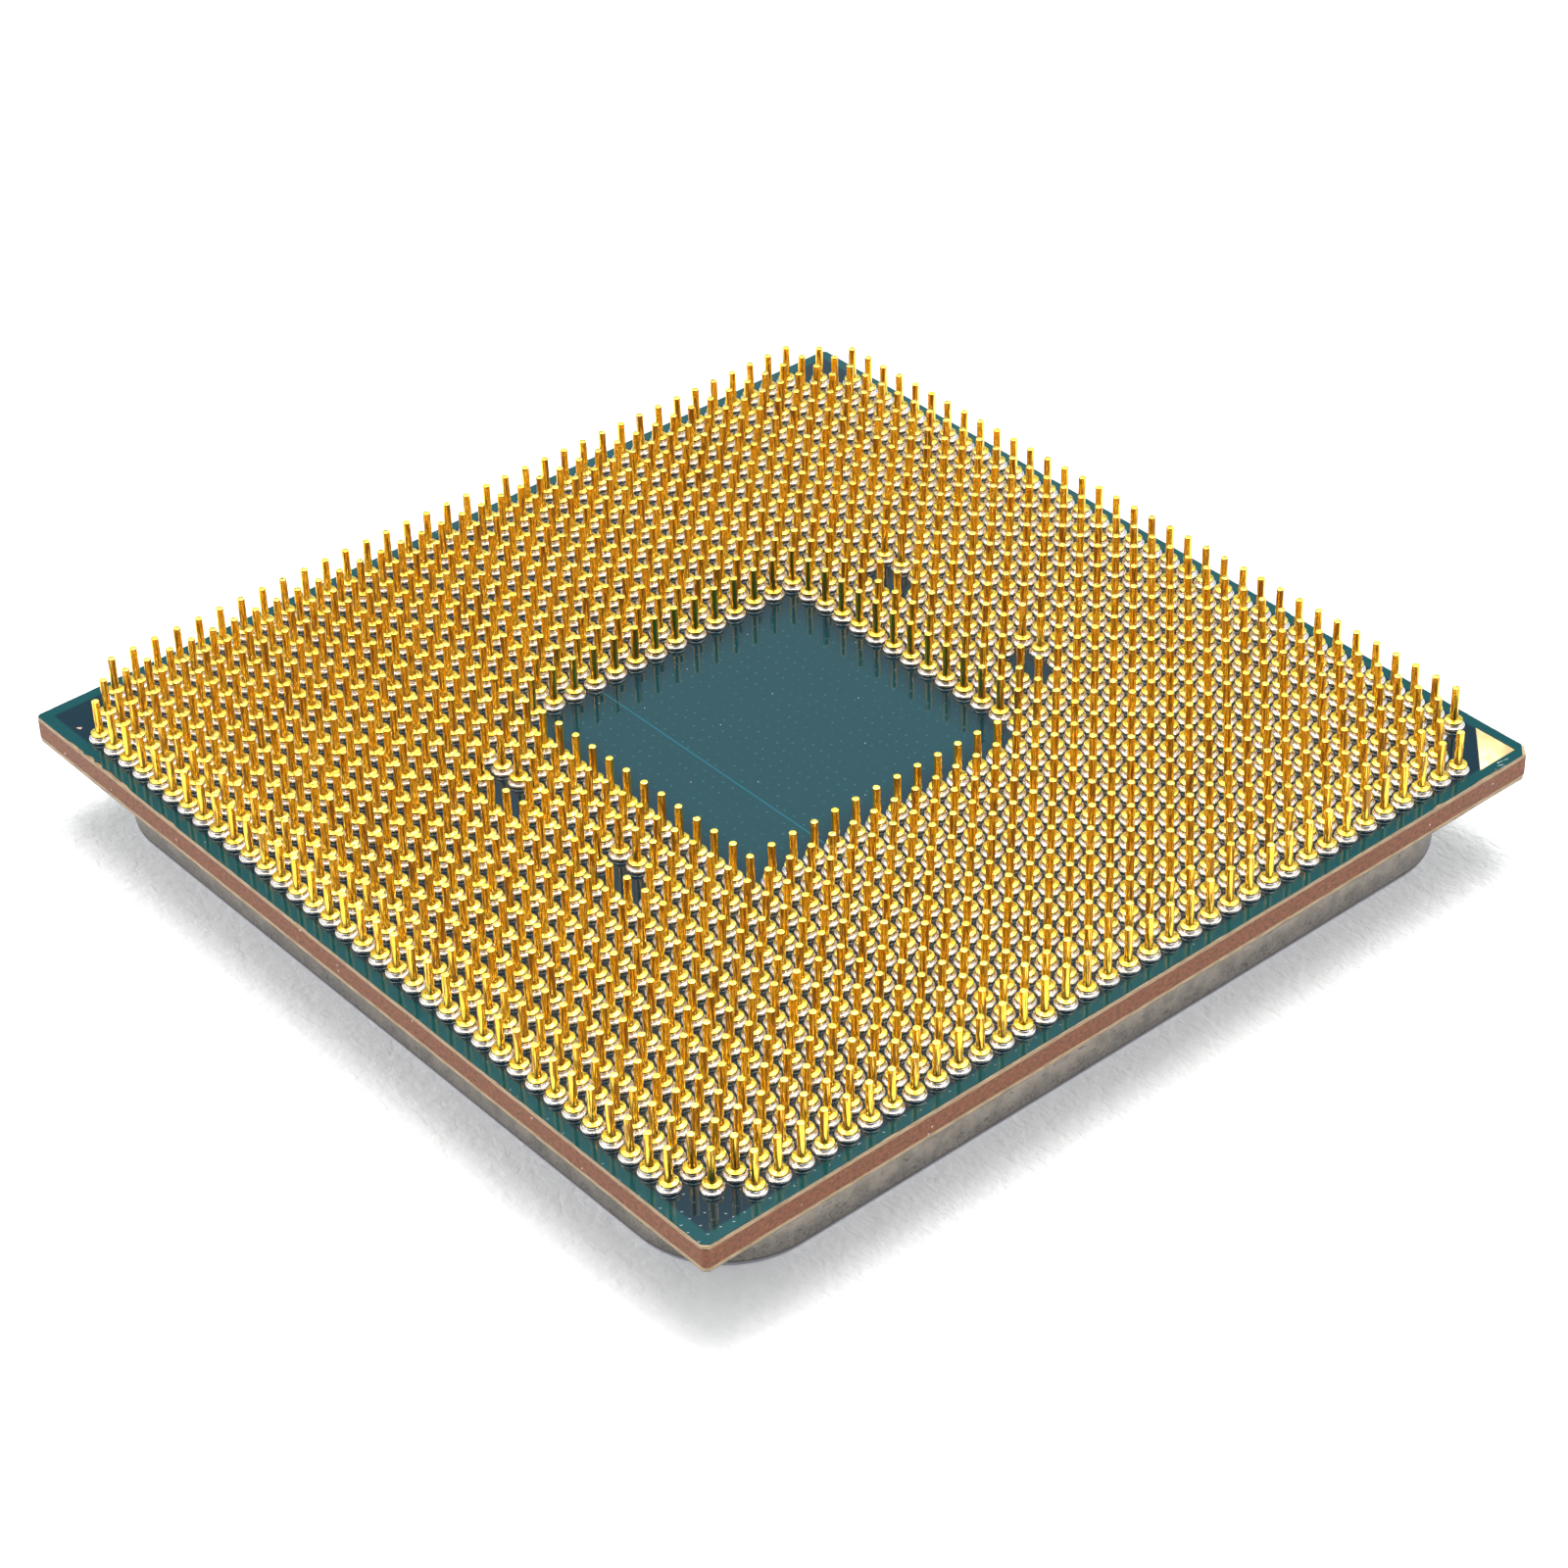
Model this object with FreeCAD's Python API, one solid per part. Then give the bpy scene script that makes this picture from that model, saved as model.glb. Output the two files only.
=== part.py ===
import FreeCAD, Part
import os

# A pin-grid processor: a laminate board with 1331 soldered pins on one side and, on the other,
# a silicon die under a plated copper heat spreader.
# Millimetres.  Z = 0 is the outer face of the heat spreader and +Z points to the pin tips.
# X and Y run along the edges of the board and the marked corner is at +X, +Y.

os.makedirs("parts", exist_ok=True)

# Pin grid, counted in pitches from the middle of the board
PIN_PITCH = 1.0
GRID_REACH = 19
WELL_REACH = 6
KEY_ROW = 10
KEY_PINS = 2
KEY_STARTS_NORTH = (-5, 3)
KEY_STARTS_SOUTH = (-4, 3)
EDGE_MARGIN = 1.0
BOARD_SIDE = 2 * GRID_REACH * PIN_PITCH + 2 * EDGE_MARGIN

# Heights of the stack, from the heat spreader's outer face upwards
LID_HEIGHT = 2.95
ADHESIVE_THICKNESS = 0.08
MASK_THICKNESS = 0.03
BUILDUP_THICKNESS = 0.16
CORE_THICKNESS = 0.77
PLANE_THICKNESS = 0.02

BOARD_BOTTOM = LID_HEIGHT + ADHESIVE_THICKNESS
LID_SIDE_BUILDUP = BOARD_BOTTOM + MASK_THICKNESS
CORE_BOTTOM = LID_SIDE_BUILDUP + BUILDUP_THICKNESS
CORE_TOP = CORE_BOTTOM + CORE_THICKNESS
PIN_SIDE_MASK = CORE_TOP + BUILDUP_THICKNESS
BOARD_TOP = PIN_SIDE_MASK + MASK_THICKNESS

# Copper of the board
PLANE_INSET = 0.5
TRACE_WIDTH = 0.06
TRACE_DEPTH = 0.018
TRACE_OFFSET = -3.1 * PIN_PITCH

# Pins, their solder and their lands
JOINT_GAP = 0.12
JOINT_RADIUS = (PIN_PITCH - JOINT_GAP) / 2
JOINT_HEIGHT = 0.21
HEAD_SHELF = 0.09
HEAD_RADIUS = JOINT_RADIUS - HEAD_SHELF
HEAD_THICKNESS = 0.12
HEAD_EDGE = 0.02
SHAFT_RADIUS = 0.15
SHAFT_LENGTH = 1.43
TIP_ROUNDING = 0.05
LAND_RADIUS = JOINT_RADIUS - 0.02
LAND_THICKNESS = 0.02
LAND_CLEARANCE = 0.01
JOINT_FOOT_RADIUS = LAND_RADIUS - 0.01
JOINT_NECK_RADIUS = HEAD_RADIUS - 0.01

# Heat spreader
LID_INSET = 1.3
LID_SIDE = BOARD_SIDE - 2 * LID_INSET
LID_CORNER_RADIUS = 3.85
LID_EDGE_ROUNDING = 0.35
LID_FOOT_WIDTH = 3.2
CAVITY_DEPTH = 0.9
CAVITY_SIDE = LID_SIDE - 2 * LID_FOOT_WIDTH
CAVITY_CORNER_RADIUS = 2.5
CAVITY_FLOOR = LID_HEIGHT - CAVITY_DEPTH

# Bead of adhesive under the heat spreader's foot
BEAD_INSET = 0.5
BEAD_WIDTH = 2.0
VENT_WIDTH = 3.0

# Silicon die, between the solder that holds it to the heat spreader and its underfill
DIE_LENGTH = 22.0
DIE_WIDTH = 9.7
DIE_SOLDER_THICKNESS = 0.125
BUMP_HEIGHT = 0.08
FILLET_REACH = 0.9
FILLET_HEIGHT = 0.45
DIE_BOTTOM = CAVITY_FLOOR + DIE_SOLDER_THICKNESS
DIE_TOP = BOARD_BOTTOM - BUMP_HEIGHT

# Chip capacitors beside the die
CAPACITOR_LENGTH = 1.0
CAPACITOR_WIDTH = 0.5
CAPACITOR_HEIGHT = 0.5
CAPACITOR_END = 0.22
CAPACITOR_SOLDER = 0.03
CAPACITOR_PITCH = 1.4
CAPACITORS_PER_ROW = 12
CAPACITOR_CLEARANCE = 0.8
CAPACITOR_ROW_GAP = 0.7

# Gold triangle at the marked corner of both faces
MARKER_LEG = 1.9
MARKER_INSET = 0.45
MARKER_CLEARANCE = 0.02
MARKER_THICKNESS = 0.02


def box(size_x, size_y, bottom, top, x=0.0, y=0.0):
    """A block centred on x, y between two heights."""
    corner = FreeCAD.Vector(x - size_x / 2, y - size_y / 2, bottom)
    return Part.makeBox(size_x, size_y, top - bottom, corner)


def rounded_plate(side, radius, bottom, top):
    """A square plate with rounded corners between two heights."""
    plate = box(side, side, bottom, top)
    upright = [edge for edge in plate.Edges if edge.BoundBox.ZLength > (top - bottom) / 2]
    return plate.makeFillet(radius, upright)


def turned(profile):
    """The solid swept by a closed half profile, an edge list in the XZ plane, about the Z axis."""
    face = Part.Face(Part.Wire(profile))
    axis_point = FreeCAD.Vector(0, 0, 0)
    axis_direction = FreeCAD.Vector(0, 0, 1)
    return face.revolve(axis_point, axis_direction, 360)


def chain(points):
    """Straight edges through (radius, height) points in turn."""
    corners = [FreeCAD.Vector(radius, 0, height) for radius, height in points]
    return [Part.makeLine(start, end) for start, end in zip(corners, corners[1:])]


def copies(solid, positions):
    """One compound with a copy of the solid at each x, y position."""
    return Part.makeCompound([solid.translated(FreeCAD.Vector(x, y, 0)) for x, y in positions])


def save(name, shape):
    shape.exportStep("parts/" + name + ".step")


def is_key(column, row):
    """Whether a grid position belongs to one of the four two-pin key gaps."""
    if abs(row) != KEY_ROW:
        return False
    starts = KEY_STARTS_NORTH if row > 0 else KEY_STARTS_SOUTH
    return any(start <= column < start + KEY_PINS for start in starts)


def has_pin(column, row):
    """Whether the grid position holds a pin: the well, the corners and the keys have none."""
    if max(abs(column), abs(row)) <= WELL_REACH:
        return False
    if abs(column) + abs(row) >= 2 * GRID_REACH - 1:
        return False
    beside_marker = column == row == GRID_REACH - 1
    return not beside_marker and not is_key(column, row)


def zone_of(column, row):
    """The group a pin belongs to: outer row, row round the well, or one of four fields."""
    ring = max(abs(column), abs(row))
    if ring == GRID_REACH:
        return "outer_row"
    if ring == WELL_REACH + 1:
        return "well_row"
    for side in ("north", "east", "south"):
        if -row < column <= row:
            return "field_" + side
        column, row = -row, column
    return "field_west"


def pin_zones():
    """Pin positions, grouped by zone."""
    steps = range(-GRID_REACH, GRID_REACH + 1)
    zones = {}
    for row in steps:
        for column in steps:
            if has_pin(column, row):
                position = (column * PIN_PITCH, row * PIN_PITCH)
                zones.setdefault(zone_of(column, row), []).append(position)
    return zones


def pin():
    """A nail-head pin, head down on its solder."""
    head_bottom = BOARD_TOP + JOINT_HEIGHT
    head_top = head_bottom + HEAD_THICKNESS
    tip = head_top + SHAFT_LENGTH
    return turned(chain([
        (0, head_bottom),
        (HEAD_RADIUS - HEAD_EDGE, head_bottom),
        (HEAD_RADIUS, head_bottom + HEAD_EDGE),
        (HEAD_RADIUS, head_top - HEAD_EDGE),
        (HEAD_RADIUS - HEAD_EDGE, head_top),
        (SHAFT_RADIUS, head_top),
        (SHAFT_RADIUS, tip - TIP_ROUNDING),
        (SHAFT_RADIUS - TIP_ROUNDING, tip),
        (0, tip),
        (0, head_bottom),
    ]))


def pin_joint():
    """The collar of solder between a land and a pin head, bulging over the mask."""
    foot = PIN_SIDE_MASK + LAND_THICKNESS
    neck = BOARD_TOP + JOINT_HEIGHT
    bulge = BOARD_TOP + 0.4 * JOINT_HEIGHT
    side = Part.Arc(
        FreeCAD.Vector(JOINT_FOOT_RADIUS, 0, foot),
        FreeCAD.Vector(JOINT_RADIUS, 0, bulge),
        FreeCAD.Vector(JOINT_NECK_RADIUS, 0, neck),
    ).toShape()
    bottom = chain([(0, foot), (JOINT_FOOT_RADIUS, foot)])
    top = chain([(JOINT_NECK_RADIUS, neck), (0, neck), (0, foot)])
    return turned(bottom + [side] + top)


def land():
    """The round copper land under one pin."""
    return Part.makeCylinder(LAND_RADIUS, LAND_THICKNESS, FreeCAD.Vector(0, 0, PIN_SIDE_MASK))


def marker(bottom, thickness, growth):
    """A right-angled triangle in the marked corner, grown outwards by the given amount."""
    corner = BOARD_SIDE / 2 - MARKER_INSET + growth
    leg = MARKER_LEG + (2 + 2 ** 0.5) * growth
    points = [
        FreeCAD.Vector(corner, corner, bottom),
        FreeCAD.Vector(corner - leg, corner, bottom),
        FreeCAD.Vector(corner, corner - leg, bottom),
    ]
    face = Part.Face(Part.makePolygon(points + points[:1]))
    return face.extrude(FreeCAD.Vector(0, 0, thickness))


def pin_side_mask(positions):
    """Solder mask with a round opening over every land and one for the marker."""
    outline = box(BOARD_SIDE, BOARD_SIDE, PIN_SIDE_MASK, BOARD_TOP)
    radius = LAND_RADIUS + LAND_CLEARANCE
    sheet = outline.cut(marker(PIN_SIDE_MASK, MASK_THICKNESS, MARKER_CLEARANCE))
    face = next(f for f in sheet.Faces if f.BoundBox.ZMin > BOARD_TOP - MASK_THICKNESS / 2)
    wires = list(face.Wires)
    for x, y in positions:
        centre = FreeCAD.Vector(x, y, BOARD_TOP)
        ring = Part.Circle(centre, FreeCAD.Vector(0, 0, 1), radius).toShape()
        wires.append(Part.Wire(ring))
    pierced = Part.makeFace(wires, "Part::FaceMakerBullseye")
    return pierced.extrude(FreeCAD.Vector(0, 0, -MASK_THICKNESS))


def lid_side_mask(lands):
    """Solder mask with openings for the die, the capacitor solder and the marker."""
    sheet = box(BOARD_SIDE, BOARD_SIDE, BOARD_BOTTOM, LID_SIDE_BUILDUP)
    window = marker(BOARD_BOTTOM, MASK_THICKNESS, MARKER_CLEARANCE)
    return sheet.cut([window] + lands)


def copper_plane(bottom):
    side = BOARD_SIDE - 2 * PLANE_INSET
    return box(side, side, bottom, bottom + PLANE_THICKNESS)


def well_trace():
    """A thin trace crossing the pinless well, flush with the build-up under the mask."""
    length = 2 * (WELL_REACH + 0.5) * PIN_PITCH
    return box(length, TRACE_WIDTH, PIN_SIDE_MASK - TRACE_DEPTH, PIN_SIDE_MASK, y=TRACE_OFFSET)


def heat_spreader():
    """Rounded lid with softened outer edges, hollow over the die."""
    lid = rounded_plate(LID_SIDE, LID_CORNER_RADIUS, 0, LID_HEIGHT)
    outer_face_edges = [edge for edge in lid.Edges if edge.BoundBox.ZMax < LID_HEIGHT / 2]
    lid = lid.makeFillet(LID_EDGE_ROUNDING, outer_face_edges)
    return lid.cut(rounded_plate(CAVITY_SIDE, CAVITY_CORNER_RADIUS, CAVITY_FLOOR, LID_HEIGHT))


def lid_adhesive():
    """A bead round the foot of the lid, broken by a vent in the middle of two sides."""
    outer_side = LID_SIDE - 2 * BEAD_INSET
    inner_side = outer_side - 2 * BEAD_WIDTH
    outer_radius = LID_CORNER_RADIUS - BEAD_INSET
    inner_radius = outer_radius - BEAD_WIDTH
    bead = rounded_plate(outer_side, outer_radius, LID_HEIGHT, BOARD_BOTTOM)
    bead = bead.cut(rounded_plate(inner_side, inner_radius, LID_HEIGHT, BOARD_BOTTOM))
    return bead.cut(box(VENT_WIDTH, BOARD_SIDE, LID_HEIGHT, BOARD_BOTTOM))


def processor_die():
    return box(DIE_WIDTH, DIE_LENGTH, DIE_BOTTOM, DIE_TOP)


def die_solder():
    return box(DIE_WIDTH, DIE_LENGTH, CAVITY_FLOOR, DIE_BOTTOM)


def rectangle(size_x, size_y, height):
    """A closed rectangular wire centred on the Z axis."""
    half_x = size_x / 2
    half_y = size_y / 2
    signs = ((-1, -1), (1, -1), (1, 1), (-1, 1), (-1, -1))
    return Part.makePolygon([FreeCAD.Vector(sx * half_x, sy * half_y, height) for sx, sy in signs])


def die_underfill():
    """Resin round the bumps, with a fillet climbing the sides of the die."""
    foot = rectangle(DIE_WIDTH + 2 * FILLET_REACH, DIE_LENGTH + 2 * FILLET_REACH, BOARD_BOTTOM)
    crest_height = DIE_TOP - FILLET_HEIGHT
    crest = rectangle(DIE_WIDTH + 0.1, DIE_LENGTH + 0.1, crest_height)
    mound = Part.makeLoft([foot, crest], True, True)
    return mound.cut(box(DIE_WIDTH, DIE_LENGTH, crest_height, DIE_TOP))


def capacitor_positions():
    """Two rows of capacitors along each long side of the die."""
    first_row = DIE_WIDTH / 2 + FILLET_REACH + CAPACITOR_CLEARANCE + CAPACITOR_LENGTH / 2
    second_row = first_row + CAPACITOR_LENGTH + CAPACITOR_ROW_GAP
    start = -(CAPACITORS_PER_ROW - 1) / 2 * CAPACITOR_PITCH
    places = []
    for x in (-second_row, -first_row, first_row, second_row):
        for index in range(CAPACITORS_PER_ROW):
            places.append((x, start + index * CAPACITOR_PITCH))
    return places


def capacitor_ends(x, y, bottom, top):
    """The two end blocks of one capacitor, between two heights."""
    shift = (CAPACITOR_LENGTH - CAPACITOR_END) / 2
    return [
        box(CAPACITOR_END, CAPACITOR_WIDTH, bottom, top, x - shift, y),
        box(CAPACITOR_END, CAPACITOR_WIDTH, bottom, top, x + shift, y),
    ]


def capacitor_end_caps():
    ends = []
    for x, y in capacitor_positions():
        ends += capacitor_ends(x, y, BOARD_BOTTOM - CAPACITOR_HEIGHT, BOARD_BOTTOM)
    return Part.makeCompound(ends)


def capacitor_solder():
    """Solder pads in the mask's openings under the capacitor ends."""
    pads = []
    for x, y in capacitor_positions():
        pads += capacitor_ends(x, y, BOARD_BOTTOM, BOARD_BOTTOM + CAPACITOR_SOLDER)
    return pads


def capacitor_bodies():
    length = CAPACITOR_LENGTH - 2 * CAPACITOR_END
    body = box(length, CAPACITOR_WIDTH, BOARD_BOTTOM - CAPACITOR_HEIGHT, BOARD_BOTTOM)
    return copies(body, capacitor_positions())


def build_board(pin_positions):
    """The laminate, its copper, its masks and its markers."""
    lid_plane = copper_plane(CORE_BOTTOM - PLANE_THICKNESS)
    pin_plane = copper_plane(CORE_TOP)
    trace = well_trace()
    pads = capacitor_solder()
    lid_buildup = box(BOARD_SIDE, BOARD_SIDE, LID_SIDE_BUILDUP, CORE_BOTTOM)
    pin_buildup = box(BOARD_SIDE, BOARD_SIDE, CORE_TOP, PIN_SIDE_MASK)
    lid_marker_bottom = LID_SIDE_BUILDUP - MARKER_THICKNESS
    save("core_laminate", box(BOARD_SIDE, BOARD_SIDE, CORE_BOTTOM, CORE_TOP))
    save("inner_plane_lid_side", lid_plane)
    save("inner_plane_pin_side", pin_plane)
    save("buildup_lid_side", lid_buildup.cut(lid_plane))
    save("buildup_pin_side", pin_buildup.cut([pin_plane, trace]))
    save("well_trace", trace)
    save("solder_mask_lid_side", lid_side_mask(pads))
    save("solder_mask_pin_side", pin_side_mask(pin_positions))
    save("corner_marker_lid_side", marker(lid_marker_bottom, MARKER_THICKNESS, 0))
    save("corner_marker_pin_side", marker(PIN_SIDE_MASK, MARKER_THICKNESS, 0))
    save("capacitor_solder", Part.makeCompound(pads))


def build_lid_side():
    """Everything between the board and the cooler."""
    save("heat_spreader", heat_spreader())
    save("lid_adhesive", lid_adhesive())
    save("die_solder", die_solder())
    save("processor_die", processor_die())
    save("die_underfill", die_underfill())
    save("capacitor_bodies", capacitor_bodies())
    save("capacitor_end_caps", capacitor_end_caps())


def build_pins(zones):
    """Pins and solder, one node of each for every zone, and the lands."""
    for zone, positions in zones.items():
        save("pins_" + zone, copies(pin(), positions))
        save("pin_joints_" + zone, copies(pin_joint(), positions))
    everywhere = [position for positions in zones.values() for position in positions]
    save("pin_lands", copies(land(), everywhere))
    return everywhere


all_pins = build_pins(pin_zones())
build_board(all_pins)
build_lid_side()
print(len(all_pins), "pins on a", BOARD_SIDE, "mm board")
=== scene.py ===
import math

import bpy
import numpy as np
from mathutils import Matrix, Vector


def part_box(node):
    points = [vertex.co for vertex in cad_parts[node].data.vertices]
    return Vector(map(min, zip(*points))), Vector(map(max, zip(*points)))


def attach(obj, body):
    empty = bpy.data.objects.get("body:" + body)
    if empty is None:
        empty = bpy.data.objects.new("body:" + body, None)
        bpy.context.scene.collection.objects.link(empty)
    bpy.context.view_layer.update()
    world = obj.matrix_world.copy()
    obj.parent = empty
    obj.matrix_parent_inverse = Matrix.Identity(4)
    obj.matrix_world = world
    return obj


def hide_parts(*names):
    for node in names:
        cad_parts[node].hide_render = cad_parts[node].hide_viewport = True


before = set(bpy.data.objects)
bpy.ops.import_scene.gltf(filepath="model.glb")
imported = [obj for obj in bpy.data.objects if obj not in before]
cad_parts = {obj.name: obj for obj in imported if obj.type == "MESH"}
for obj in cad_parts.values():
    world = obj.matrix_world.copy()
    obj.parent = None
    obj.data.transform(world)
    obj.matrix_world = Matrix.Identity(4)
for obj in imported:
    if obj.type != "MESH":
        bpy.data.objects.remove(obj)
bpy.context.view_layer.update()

# Looks of a pin-grid processor lying on its heat spreader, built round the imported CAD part.
# Lengths are in metres. The marked corner is at +X, +Y and the pins point up.
MM = 0.001
PITCH = 1.0 * MM
BODY = "root"
ZONES = ("outer_row", "well_row", "field_north", "field_east", "field_south", "field_west")
SEED = 1331

# Camera of the photograph
CAMERA_PLACE = Vector((95.32, -78.15, 93.13)) * MM
CAMERA_AIM = Vector((2.91, -1.96, 4.33)) * MM
CAMERA_ROLL = math.radians(-1.91)
CAMERA_LENS = 92.6

# Pins and solder collars, as (radius, height over the mask) in millimetres
PIN_SEGMENTS = 24
PIN_PROFILE = (
    (0.290, 0.205), (0.325, 0.226), (0.348, 0.262), (0.350, 0.298), (0.340, 0.322), (0.318, 0.331),
    (0.180, 0.333), (0.157, 0.346), (0.150, 0.380),
    (0.150, 1.722), (0.147, 1.744), (0.133, 1.757), (0.110, 1.760),
)
PIN_FOOT = PIN_PROFILE[0][1]
COLLAR_PROFILE = (
    (0.405, -0.012), (0.430, 0.002), (0.441, 0.030), (0.439, 0.068), (0.424, 0.100), (0.398, 0.118),
    (0.366, 0.124), (0.334, 0.136), (0.310, 0.162), (0.302, 0.212),
)
# A collar's points above this height stay where they are, to meet the pin
NECK_HEIGHT = 0.2

# How uneven they are: the pins' leans, with a few larger ones, and a collar's waves round its
# width, as (lobes, spread), and spread of its height, as shares with the limits they keep to
LEAN = math.radians(0.45)
LEAN_OF_FEW = math.radians(1.6)
SHARE_OF_FEW = 0.04
COLLAR_WAVES = ((2, 0.012), (3, 0.010), (5, 0.006))
COLLAR_WIDTH_LIMITS = (0.96, 1.03)
COLLAR_HEIGHT_SPREAD = 0.05
COLLAR_HEIGHT_LIMITS = (0.9, 1.0)

# Board: intervals a side of a grid square, and outline intervals for each of those
CELL_STEPS = 5
OUTLINE_SPLIT = 3
HOLE_RADIUS = 0.425 * MM
BORDER = 0.5 * MM
WINDOW_GAP = 0.02 * MM

# Wear of each layer, as (mean setback of its outline, share it has of the corners' blunting),
# and how much deeper the mask is chipped than the resin under it
CORE_WEAR = (0.008 * MM, 0.75)
RESIN_WEAR = (0.006 * MM, 0.9)
PIN_MASK_WEAR = (0.016 * MM, 1.2)
LID_MASK_WEAR = (0.014 * MM, 0.95)
MASK_CHIP_SHARE = 1.2

# A layer's edge: the break at its top, rows of points up the side and how far they wave, as a
# share of the layer's setback, and the most of a layer's thickness that a chip takes
EDGE_BREAK = 0.012 * MM
EDGE_BREAK_HEIGHT = 0.3 * EDGE_BREAK
EDGE_ROWS = 4
SIDE_WAVES = 0.4
CHIP_LIMIT = 0.75
BOARD_SHARP_ANGLE = 35
SAME_PLACE = 0.001 * MM

# Wear of the board's upper edge: side, place along it, half length, depth, in millimetres.
# Sides: 0 is -Y, 1 is +X, 2 is +Y and 3 is -X.
CHIPS = (
    (0, -17.2, 0.50, 0.070), (0, -16.3, 0.30, 0.085), (0, -15.7, 0.25, 0.060), (0, -14.4, 0.95, 0.065),
    (0, -11.0, 0.60, 0.025), (0, -2.5, 0.40, 0.020), (0, 9.0, 0.30, 0.025), (1, -12.0, 0.35, 0.025),
    (1, 3.5, 0.30, 0.030), (1, 14.9, 0.25, 0.045), (1, 17.6, 0.80, 0.030), (2, -6.0, 0.35, 0.030),
    (2, 8.0, 0.30, 0.040), (3, -12.5, 0.50, 0.045), (3, 4.5, 0.30, 0.030),
)
# Blunted board corners: signs of X and Y, and the legs of the triangle cut off, in millimetres
CORNER_CUTS = ((-1, -1, 0.12), (1, -1, 0.22), (1, 1, 0.42), (-1, 1, 0.16))

# Looks of the mask: where the paler well ends and the mask painted darker among the pins as painted shade
# begins, and two worn spots with their fading radii
WELL_EDGE = (5.0 * MM, 7.0 * MM)
CHIPPED_SPOT = (-18.12 * MM, -19.19 * MM, 0)
CHIPPED_RADII = (0.26 * MM, 0.29 * MM)
RUBBED_SPOT = (19.75 * MM, 18.45 * MM, 0)
RUBBED_RADII = (0.25 * MM, 0.65 * MM)

# Heat spreader
LID_CORNER_RADIUS = 3.85 * MM
LID_EDGE_ROUNDING = 0.35 * MM
LID_TOP_ROUNDING = 0.06 * MM
LID_FOOT_WIDTH = 3.2 * MM
CAVITY_CORNER_RADIUS = 2.5 * MM
CAVITY_FLOOR = 2.05 * MM
CORNER_STEPS = 20
ROUNDING_STEPS = 6
TOP_ROUNDING_STEPS = 3

# Looks of its sides: heights of the bluish band at the outer edge, a painted reflection, and the dark
# line over it, painted shade
LID_PAINTED_REFLECTION_BAND = (0.26 * MM, 0.33 * MM)
LID_PAINTED_SHADE_LINE_HEIGHT = 0.36 * MM

# Gold triangle of the pin side
TIP_BLUNTING = 0.05 * MM
TRIANGLE_BEVEL = 0.004 * MM
TRIANGLE_TOP_SHARE = 0.985

# Floor and lamp
FLOOR_HALF = 1.5
FLOOR_GAP = 0.02 * MM
LAMP_PLACE = (-0.22, 0.19, 0.66)
LAMP_SIZE = 0.5
LAMP_POWER = 6.4


# ---------------------------------------------------------------- meshes

def vertices_of(node):
    """The vertices of a CAD node, one row each."""
    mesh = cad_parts[node].data
    flat = np.empty(3 * len(mesh.vertices), np.float32)
    mesh.vertices.foreach_get("co", flat)
    return flat.reshape(-1, 3).astype(float)


def grid_places(node):
    """Grid positions of the solids in a CAD node, in pitches from the middle."""
    steps = np.round(vertices_of(node)[:, :2] / PITCH).astype(int)
    return np.unique(steps, axis=0)


def new_piece(name, vertices, faces, sharp_angle=40):
    """A smooth-shaded mesh object whose edges steeper than the angle stay sharp."""
    mesh = bpy.data.meshes.new(name)
    mesh.from_pydata(vertices, [], faces)
    mesh.update()
    mesh.shade_smooth()
    mesh.set_sharp_from_angle(angle=math.radians(sharp_angle))
    piece = bpy.data.objects.new(name, mesh)
    bpy.context.scene.collection.objects.link(piece)
    return piece


def turned(profile, segments):
    """Vertices, quads and triangles of (radius, height) points spun about Z and closed at both ends."""
    angles = np.arange(segments) * 2 * math.pi / segments
    circle = np.column_stack([np.cos(angles), np.sin(angles)])
    rings = [np.column_stack([circle * radius, np.full(segments, height)]) for radius, height in profile]
    ends = np.array([[0, 0, profile[0][1]], [0, 0, profile[-1][1]]])
    vertices = np.vstack(rings + [ends])
    here = np.arange(segments)
    after = (here + 1) % segments
    quads = []
    for ring in range(len(profile) - 1):
        low = ring * segments
        high = low + segments
        quads.append(np.column_stack([low + here, low + after, high + after, high + here]))
    bottom = len(profile) * segments
    top_ring = bottom - segments
    fans = [
        np.column_stack([np.full(segments, bottom), after, here]),
        np.column_stack([np.full(segments, bottom + 1), top_ring + here, top_ring + after]),
    ]
    return vertices, np.vstack(quads), np.vstack(fans)


def repeated_faces(kinds, count, step):
    """The faces of one template of `step` vertices, repeated for a number of copies."""
    shifts = np.arange(count)[:, None, None] * step
    faces = []
    for kind in kinds:
        faces += (kind[None] + shifts).reshape(-1, kind.shape[1]).tolist()
    return faces


def rotations(spin, lean, lean_towards):
    """Rotation matrices: a spin about Z, then a lean towards a compass direction."""
    zero = np.zeros_like(spin)
    one = np.ones_like(spin)
    turn = np.stack([
        np.cos(spin), -np.sin(spin), zero, np.sin(spin), np.cos(spin), zero, zero, zero, one,
    ], axis=1).reshape(-1, 3, 3)
    axis_x = -np.sin(lean_towards)
    axis_y = np.cos(lean_towards)
    cosine = np.cos(lean)
    sine = np.sin(lean)
    remainder = 1 - cosine
    tip = np.stack([
        cosine + axis_x ** 2 * remainder, axis_x * axis_y * remainder, axis_y * sine,
        axis_x * axis_y * remainder, cosine + axis_y ** 2 * remainder, -axis_x * sine,
        -axis_y * sine, axis_x * sine, cosine,
    ], axis=1).reshape(-1, 3, 3)
    return tip @ turn


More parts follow.
